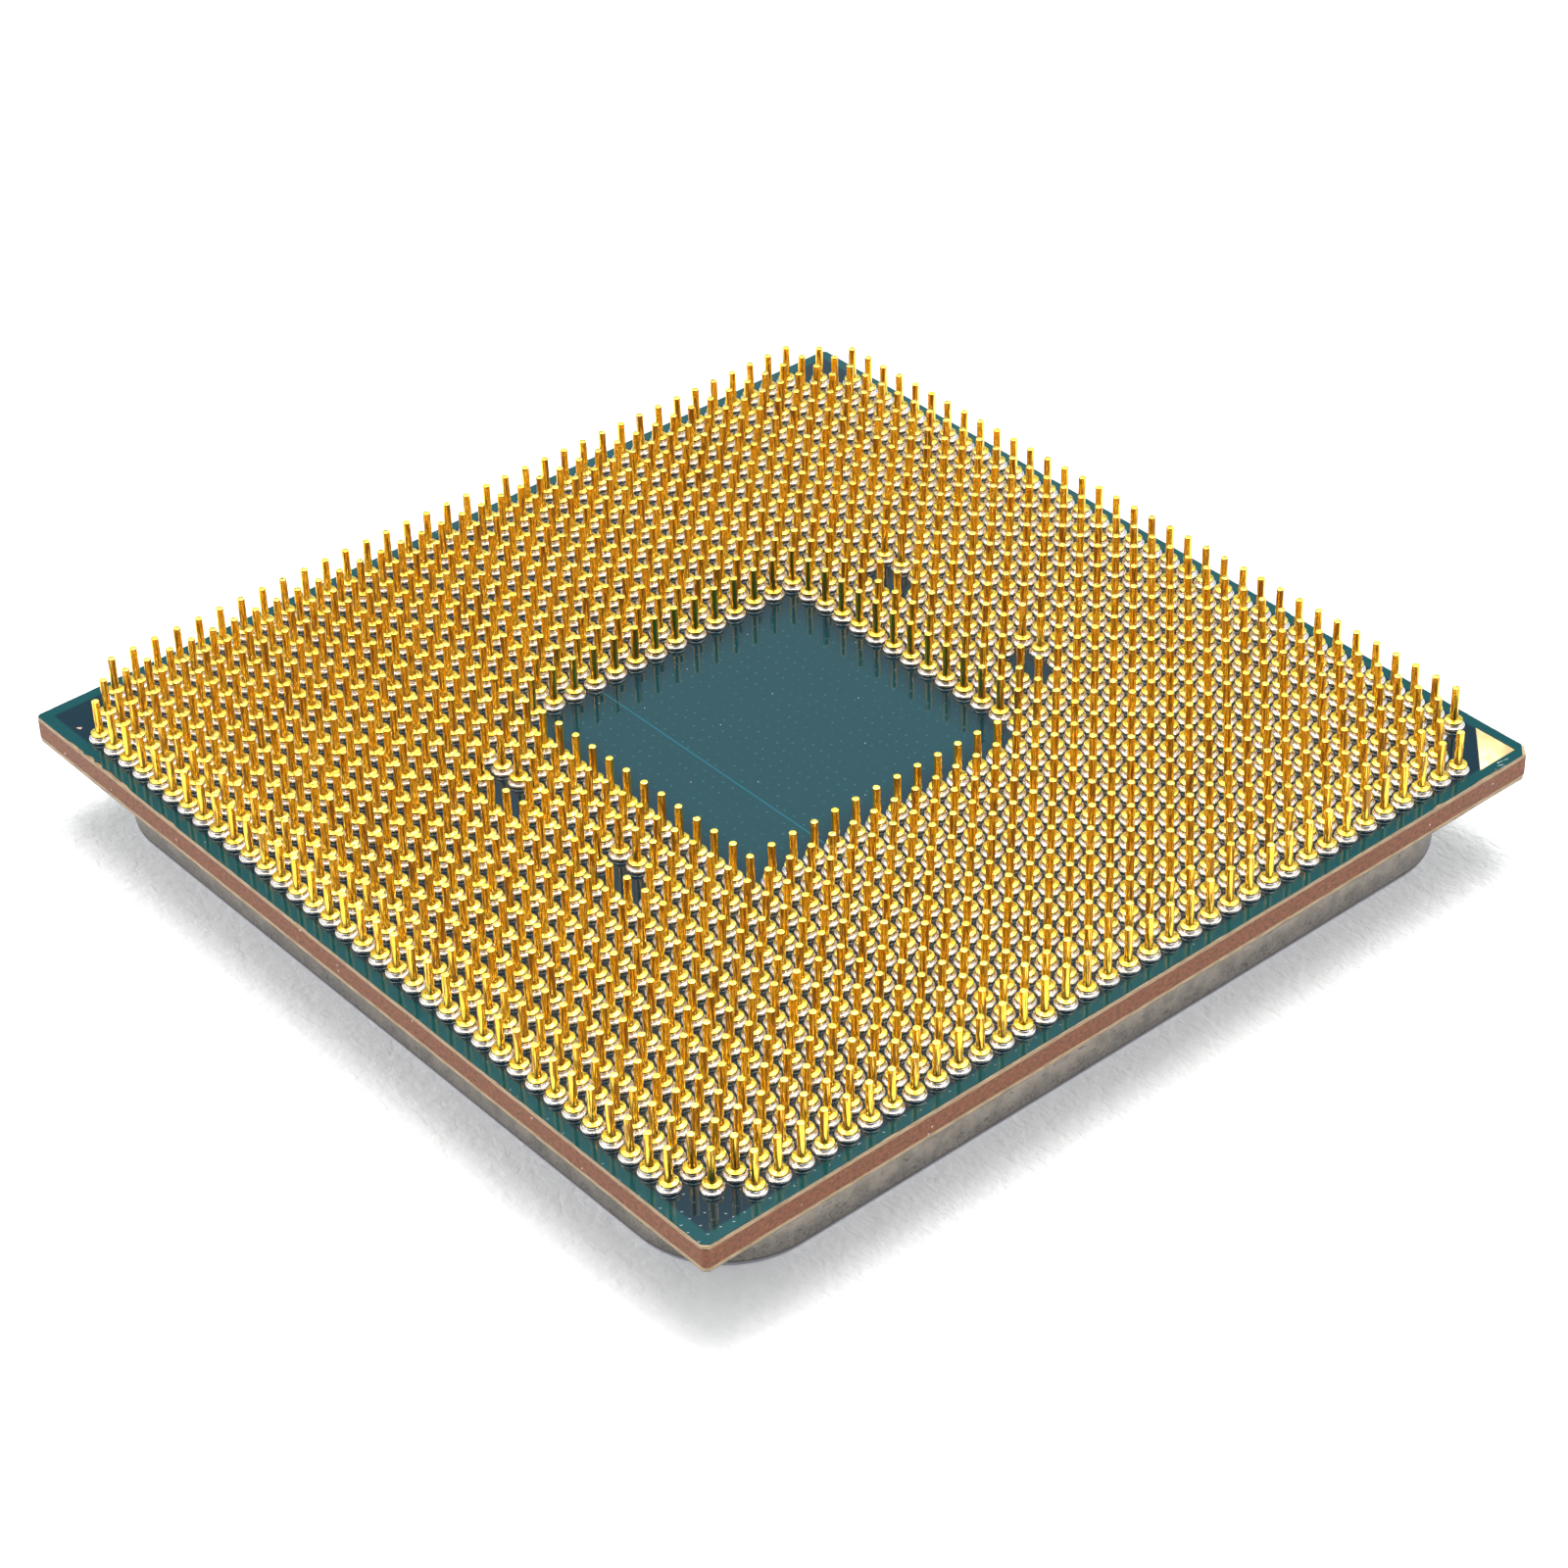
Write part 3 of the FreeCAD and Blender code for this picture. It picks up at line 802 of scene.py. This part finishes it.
def laminate_core():
    """Cut edge of the glass-fibre core: reddish brown with dark and pale fibre ends."""
    made, tree, shader, place = start("laminate_core", 0.0, IOR=1.5)
    weave = noise(tree, place, (5200, 5200, 8000), 3.0, 0.65)
    fibre = noise(tree, place, (10000, 10000, 16000), 2.0)
    blot = noise(tree, place, 700, 2.0)
    colour = mix(tree, between(tree, weave, 0.32, 0.66), (0.130, 0.038, 0.011), (0.29, 0.088, 0.024))
    colour = mix(tree, between(tree, fibre, 0.55, 0.8, 0.0, 0.6), colour, (0.44, 0.17, 0.060))
    colour = mix(tree, between(tree, blot, 0.5, 0.75, 0.0, 0.4), colour, (0.20, 0.050, 0.018))
    specks = between(tree, cells(tree, place, 1500), 0.045, 0.075, 1.0, 0.0)
    colour = mix(tree, specks, colour, (0.75, 0.60, 0.50))
    rough = between(tree, fibre, 0.3, 0.7, 0.45, 0.7)
    normal = bump(tree, weave, 0.03 * MM, 0.7)
    normal = bump(tree, fibre, 0.012 * MM, 0.6, normal)
    finish_material(tree, shader, colour, rough, normal)
    return made


def buildup_resin():
    """Cut edge of the build-up resin: cream with browner smears."""
    made, tree, shader, place = start("buildup_resin", 0.0, IOR=1.5)
    smear = noise(tree, place, (1400, 1400, 9000), 3.0, 0.6)
    fine = noise(tree, place, 12000, 2.0)
    colour = mix(tree, between(tree, smear, 0.35, 0.7), (0.50, 0.36, 0.20), (0.30, 0.185, 0.095))
    colour = mix(tree, between(tree, fine, 0.5, 0.8, 0.0, 0.5), colour, (0.62, 0.50, 0.34))
    rough = between(tree, fine, 0.3, 0.7, 0.40, 0.62)
    normal = bump(tree, smear, 0.02 * MM, 0.6)
    normal = bump(tree, fine, 0.006 * MM, 0.5, normal)
    finish_material(tree, shader, colour, rough, normal)
    return made


def marker_gold():
    """Flat gold of the corner triangle: pale and matte, with a few scratches."""
    made, tree, shader, place = start("marker_gold", 1.0)
    grain = noise(tree, place, 9000, 3.0)
    scratch = noise(tree, place, (1500, 26000, 1500), 2.0)
    stain = noise(tree, place, 1400, 3.0)
    colour = mix(tree, between(tree, stain, 0.35, 0.7), (0.64, 0.51, 0.27), (0.52, 0.38, 0.16))
    rough = between(tree, grain, 0.3, 0.7, 0.34, 0.55)
    normal = bump(tree, grain, 0.006 * MM, 0.7)
    normal = bump(tree, scratch, 0.003 * MM, 0.5, normal)
    finish_material(tree, shader, colour, rough, normal)
    return made


def nickel():
    """Satin nickel plating: even on the outer face, spotted on the sides and painted darker low down on
    them as painted shade, with a bluish band at the outer edge as painted reflection and a dark line over
    it as painted shade.
    """
    made, tree, shader, place = start("nickel_plating", 1.0)
    z = axes(tree, place)[2]
    mottle = noise(tree, place, 1300, 4.0, 0.65)
    grain = noise(tree, place, 8000, 3.0, 0.6)
    colour = mix(tree, between(tree, mottle, 0.35, 0.65), (0.36, 0.320, 0.275), (0.48, 0.430, 0.375))
    # Darker towards the floor: painted shade, where the dark spots also grow denser
    mottled_z = maths(tree, "ADD", z, maths(tree, "MULTIPLY", mottle, 1.6 * MM))
    spots_and_painted_shade_low_down = between(tree, mottled_z, 1.0 * MM, 2.3 * MM, 1.0, 0.0)
    colour = stained(tree, colour, spots_and_painted_shade_low_down, 0.75, (0.27, 0.26, 0.25))
    spot_share = between(tree, spots_and_painted_shade_low_down, 0.0, 1.0, 0.15, 0.55)
    spots = maths(tree, "MULTIPLY", between(tree, grain, 0.50, 0.62), spot_share)
    colour = mix(tree, spots, colour, (0.15, 0.125, 0.11))
    marks = between(tree, noise(tree, place, (2600, 2600, 6500), 2.0), 0.66, 0.70)
    colour = stained(tree, colour, marks, 0.55, (0.10, 0.085, 0.075))
    # Bluish band at the outer edge: painted reflection
    painted_reflection_band = between(tree, z, *LID_PAINTED_REFLECTION_BAND, 1.0, 0.0)
    colour = stained(tree, colour, painted_reflection_band, 0.7, (0.46, 0.47, 0.58))
    # Dark line where the edge rounding meets the side: painted shade
    off_line = maths(tree, "ABSOLUTE", maths(tree, "SUBTRACT", z, LID_PAINTED_SHADE_LINE_HEIGHT))
    painted_shade_line = between(tree, off_line, 0.01 * MM, 0.05 * MM, 1.0, 0.0)
    colour = stained(tree, colour, painted_shade_line, 0.7, (0.10, 0.095, 0.10))
    down = axes(tree, add(tree, "NewGeometry").outputs["Normal"])[2]
    on_face = between(tree, down, -0.97, -0.85, 1.0, 0.0)
    colour = mix(tree, on_face, colour, mix(tree, mottle, (0.52, 0.50, 0.47), (0.64, 0.62, 0.59)))
    rough = between(tree, mottle, 0.3, 0.7, 0.30, 0.46)
    normal = bump(tree, grain, 0.012 * MM, 0.6)
    normal = bump(tree, marks, 0.010 * MM, 0.5, normal)
    finish_material(tree, shader, colour, rough, normal)
    return made


def two_tone(name, metallic, dark, pale, size, roughness, depth):
    """A plain finish with clouds of two tones, varying gloss and a fine uneven surface."""
    made, tree, shader, place = start(name, metallic)
    cloud = noise(tree, place, size, 4.0)
    grain = noise(tree, place, 6 * size, 2.0)
    colour = mix(tree, between(tree, cloud, 0.3, 0.7), dark, pale)
    rough = between(tree, grain, 0.3, 0.7, roughness, roughness + 0.15)
    finish_material(tree, shader, colour, rough, bump(tree, grain, depth, 0.6))
    return made


def paper():
    """White sheet with soft creases, glowing a little like a light table, for the floor."""
    made, tree, shader, place = start("white_sheet", 0.0, **{"Specular IOR Level": 0.2})
    wide = noise(tree, place, 260, 3.0)
    waves = noise(tree, place, (420, 760, 400), 3.0, 0.6)
    off_crease = maths(tree, "ABSOLUTE", maths(tree, "SUBTRACT", waves, 0.5))
    creased = between(tree, off_crease, 0.0, 0.07)
    fine = noise(tree, place, 2600, 3.0, 0.6)
    colour = mix(tree, between(tree, fine, 0.3, 0.7), (0.90, 0.90, 0.905), (0.97, 0.97, 0.97))
    rough = between(tree, wide, 0.3, 0.7, 0.7, 0.9)
    normal = bump(tree, wide, 0.5 * MM, 0.3)
    normal = bump(tree, creased, 0.045 * MM, 0.45, normal)
    normal = bump(tree, fine, 0.14 * MM, 0.7, normal)
    plug(tree, shader.inputs["Emission Color"], colour)
    plug(tree, shader.inputs["Emission Strength"], 0.30)
    finish_material(tree, shader, colour, rough, normal)
    return made


# ---------------------------------------------------------------- scene

def dress(piece, material, slot, *nodes):
    """Gives a new piece its material and body and hides the CAD nodes it stands for; the record slot is
    not used.
    """
    piece.data.materials.clear()
    piece.data.materials.append(material)
    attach(piece, BODY)
    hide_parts(*nodes)


def paint(node, material):
    """Gives a CAD node that stays in view its material."""
    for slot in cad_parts[node].material_slots:
        slot.material = material


def build_pins(board_top):
    """The gold pins and their solder collars, zone by zone."""
    rng = np.random.default_rng(SEED)
    gold = pin_gold()
    silver = solder()
    for zone in ZONES:
        dress(pins(zone, board_top, rng), gold, "pin_gold", "pins_" + zone)
        dress(collars(zone, board_top, rng), silver, "pin_solder", "pin_joints_" + zone)


def build_board():
    """The layers of the board, its gold triangles and its copper."""
    rng = np.random.default_rng(SEED + 1)
    mask = board_mask("well_trace", "inner_plane_pin_side")
    resin = buildup_resin()
    chips = chip_depths(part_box("core_laminate")[1].x, rng)
    core = board_layer("core_sheet", "core_laminate", CORE_WEAR, rng)
    dress(core, laminate_core(), "core_laminate", "core_laminate")
    upper = board_layer("resin_sheet_top", "buildup_pin_side", RESIN_WEAR, rng, chips)
    dress(upper, resin, "buildup_resin", "buildup_pin_side")
    lower = board_layer("resin_sheet_under", "buildup_lid_side", RESIN_WEAR, rng)
    dress(lower, resin, "buildup_resin", "buildup_lid_side")
    sheet = pin_side_mask("solder_mask_pin_side", PIN_MASK_WEAR, rng, MASK_CHIP_SHARE * chips)
    cut_window(sheet, "corner_marker_pin_side", WINDOW_GAP)
    dress(sheet, mask, "solder_mask", "solder_mask_pin_side")
    dress(gold_triangle(), marker_gold(), "marker_gold", "corner_marker_pin_side")
    under = board_layer("solder_mask_under", "solder_mask_lid_side", LID_MASK_WEAR, rng)
    dress(under, mask, "solder_mask", "solder_mask_lid_side")
    paint("corner_marker_lid_side", marker_gold())
    copper = two_tone("land_copper", 1.0, dark=(0.80, 0.36, 0.20), pale=(0.93, 0.50, 0.32),
                      size=2500, roughness=0.25, depth=0.004 * MM)
    dress(lands(), copper, "copper", "pin_lands")
    for node in ("inner_plane_pin_side", "inner_plane_lid_side", "well_trace"):
        paint(node, copper)


def build_lid_side():
    """The heat spreader, and the finishes of what is under it."""
    dress(heat_spreader(), nickel(), "nickel_plating", "heat_spreader")
    sealant = two_tone("sealant", 0.0, dark=(0.02, 0.02, 0.022), pale=(0.05, 0.05, 0.05),
                       size=1500, roughness=0.45, depth=0.02 * MM)
    indium = two_tone("indium", 1.0, dark=(0.55, 0.55, 0.56), pale=(0.75, 0.75, 0.74),
                      size=900, roughness=0.3, depth=0.01 * MM)
    silicon = two_tone("silicon", 0.6, dark=(0.10, 0.10, 0.12), pale=(0.16, 0.16, 0.19),
                       size=300, roughness=0.1, depth=0.002 * MM)
    underfill = two_tone("underfill", 0.0, dark=(0.01, 0.01, 0.012), pale=(0.04, 0.035, 0.03),
                         size=900, roughness=0.3, depth=0.01 * MM)
    ceramic = two_tone("capacitor_ceramic", 0.0, dark=(0.20, 0.11, 0.055), pale=(0.34, 0.20, 0.11),
                       size=3000, roughness=0.4, depth=0.006 * MM)
    tin = two_tone("capacitor_tin", 1.0, dark=(0.60, 0.59, 0.57), pale=(0.80, 0.79, 0.77),
                   size=3500, roughness=0.28, depth=0.008 * MM)
    paint("lid_adhesive", sealant)
    paint("die_solder", indium)
    paint("processor_die", silicon)
    paint("die_underfill", underfill)
    paint("capacitor_bodies", ceramic)
    paint("capacitor_end_caps", tin)
    paint("capacitor_solder", tin)


def build_floor():
    """A wide white sheet just under the heat spreader."""
    signs = ((-1, -1), (1, -1), (1, 1), (-1, 1))
    corners = [(x * FLOOR_HALF, y * FLOOR_HALF, -FLOOR_GAP) for x, y in signs]
    floor = new_piece("white_floor", corners, [(0, 1, 2, 3)])
    floor.data.materials.append(paper())


def build_lamp():
    """A soft square lamp high at the back, aimed at the middle of the object."""
    data = bpy.data.lights.new("overhead", "AREA")
    data.shape = "SQUARE"
    data.size = LAMP_SIZE
    data.energy = LAMP_POWER
    lamp = bpy.data.objects.new("overhead", data)
    lamp.location = LAMP_PLACE
    lamp.rotation_mode = "QUATERNION"
    lamp.rotation_quaternion = (-Vector(LAMP_PLACE)).to_track_quat("-Z", "Y")
    bpy.context.scene.collection.objects.link(lamp)


def build_tent():
    """White all round, but dark at the photograph's camera and grey behind the object."""
    world = bpy.data.worlds.new("tent")
    bpy.context.scene.world = world
    world.use_nodes = True
    tree = world.node_tree
    tree.nodes.clear()
    direction = add(tree, "TexCoord").outputs["Generated"]
    to_camera = Vector((CAMERA_PLACE.x, CAMERA_PLACE.y, 0)).normalized()
    across = maths(tree, "ABSOLUTE", dot(tree, direction, to_camera.cross(Vector((0, 0, 1)))))
    back = mix(tree, between(tree, across, 0.03, 0.19), (0.46, 0.47, 0.48), (0.22, 0.23, 0.25))
    back_and_up = (Vector((0, 0, 0.75)) - to_camera).normalized()
    behind = between(tree, dot(tree, direction, back_and_up), 0.80, 0.93)
    colour = mix(tree, behind, (1.0, 1.0, 1.0), back)
    in_front = between(tree, dot(tree, direction, to_camera), 0.30, 0.62)
    colour = mix(tree, in_front, colour, (0.035, 0.030, 0.026))
    background = add(tree, "Background", {"Color": colour, "Strength": 1.0})
    output = add(tree, "OutputWorld")
    tree.links.new(background.outputs[0], output.inputs[0])


def build_camera():
    """The camera at the photograph's angle."""
    data = bpy.data.cameras.new("photo_camera")
    data.lens = CAMERA_LENS
    data.sensor_width = 36.0
    data.clip_start = 0.005
    data.clip_end = 10.0
    camera = bpy.data.objects.new("photo_camera", data)
    look = (CAMERA_AIM - CAMERA_PLACE).to_track_quat("-Z", "Y").to_matrix().to_4x4()
    camera.matrix_world = Matrix.Translation(CAMERA_PLACE) @ look @ Matrix.Rotation(CAMERA_ROLL, 4, "Z")
    bpy.context.scene.collection.objects.link(camera)
    bpy.context.scene.camera = camera


board_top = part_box("solder_mask_pin_side")[1].z
build_pins(board_top)
build_board()
build_lid_side()
build_floor()
build_lamp()
build_tent()
build_camera()
bpy.context.scene.view_settings.view_transform = "Standard"

bpy.context.view_layer.update()
